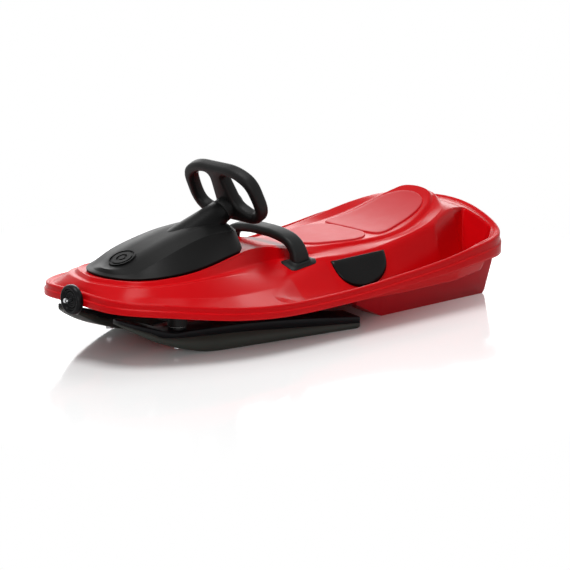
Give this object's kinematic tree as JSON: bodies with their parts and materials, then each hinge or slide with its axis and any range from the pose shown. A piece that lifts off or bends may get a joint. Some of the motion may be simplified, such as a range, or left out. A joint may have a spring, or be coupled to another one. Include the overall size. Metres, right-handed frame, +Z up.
{
  "type": "steerable snow sled",
  "caption": "Moulded plastic snow sled with a raised seat, leg wells, twin front skis turned by a steering wheel, a pull-up claw brake and a towing eye on the nose.",
  "frame": {"origin": "on the snow, under the middle of the overall length", "axes": "+X to the nose, +Y to the rider's left, +Z up"},
  "size_m": [1.168, 0.5474, 0.3783],
  "materials": {
    "hull_red": "glossy moulded plastic",
    "tub_red": "satin moulded plastic",
    "hood_black": "satin moulded plastic",
    "wheel_black": "satin moulded plastic",
    "handle_black": "satin moulded plastic",
    "grip_black": "glossy plastic",
    "fairlead_black": "glossy plastic",
    "ski_grey": "satin moulded plastic",
    "ski_black": "satin moulded plastic",
    "inner_black": "matt moulded plastic",
    "bush_white": "plain bearing plastic",
    "steel": "zinc-plated"
  },
  "bodies": {
    "hull": {"beam_bolts": "steel", "bracket_screws": "steel", "brake_hanger_left": "inner_black", "brake_hanger_right": "inner_black", "brake_rod": "steel", "brake_spring": "steel", "column_bracket": "inner_black", "column_bush_lower": "bush_white", "column_bush_upper": "bush_white", "deck_shell": "hull_red", "hanger_screws": "steel", "hood": "hood_black", "hood_badge": "hood_black", "hood_screws": "steel", "kingpin_bush_left": "bush_white", "kingpin_bush_right": "bush_white", "leg_frame_left": "handle_black", "leg_frame_right": "handle_black", "rear_tub": "tub_red", "rod_clips": "steel", "side_grip_left": "grip_black", "side_grip_right": "grip_black", "ski_beam": "inner_black", "tow_fairlead": "fairlead_black", "tub_screws": "steel"},
    "steering": {"steering_wheel": "wheel_black", "wheel_bolt": "steel", "steering_shaft": "steel", "shaft_clip": "steel", "column_crank": "inner_black"},
    "tie_rod": {"tie_rod": "inner_black"},
    "brake": {"brake_handle": "handle_black", "claw_bolts": "steel", "brake_claw_left": "steel", "brake_claw_right": "steel"},
    "tow_hook": {"tow_hook": "steel", "tow_nut": "steel"},
    "ski_left": {"ski_left": "ski_grey", "ski_cover_left": "ski_black", "kingpin_left": "steel", "thrust_washer_left": "bush_white", "kingpin_nut_left": "steel", "steering_arm_left": "inner_black", "arm_pin_left": "steel"},
    "ski_right": {"ski_right": "ski_grey", "ski_cover_right": "ski_black", "kingpin_right": "steel", "thrust_washer_right": "bush_white", "kingpin_nut_right": "steel", "steering_arm_right": "inner_black", "arm_pin_right": "steel"}
  },
  "joints": [
    {"name": "steering_turn", "type": "hinge", "parent": "hull", "child": "steering", "pos_m": [0.112, 0, 0.277], "axis": [-0.9063, 0, 0.4226], "range_deg": [-22, 22]},
    {"name": "tie_rod_slide", "type": "slide", "parent": "hull", "child": "tie_rod", "axis": [0, 1, 0], "range_m": [-0.0252, 0.0252]},
    {"name": "ski_left_turn", "type": "hinge", "parent": "hull", "child": "ski_left", "pos_m": [0.368, 0.118, 0.084], "axis": [0, 0, 1], "range_deg": [-13.8, 13.8]},
    {"name": "ski_right_turn", "type": "hinge", "parent": "hull", "child": "ski_right", "pos_m": [0.368, -0.118, 0.084], "axis": [0, 0, 1], "range_deg": [-13.8, 13.8]},
    {"name": "brake_pull", "type": "hinge", "parent": "hull", "child": "brake", "pos_m": [0.006, 0, 0.118], "axis": [0, -1, 0], "range_deg": [0, 14], "stiffness_Nm_per_rad": 3, "springref_deg": -22.92},
    {"name": "tow_hook_swivel", "type": "hinge", "parent": "hull", "child": "tow_hook", "pos_m": [0.555, 0, 0.13], "axis": [1, 0, 0], "range_deg": [-90, 90]}
  ],
  "couplings": [
    {"joint": "tie_rod_slide", "follows": "steering_turn", "m_per_rad": -0.065216},
    {"joint": "ski_left_turn", "follows": "steering_turn", "ratio": 0.62462},
    {"joint": "ski_right_turn", "follows": "steering_turn", "ratio": 0.62462}
  ]
}
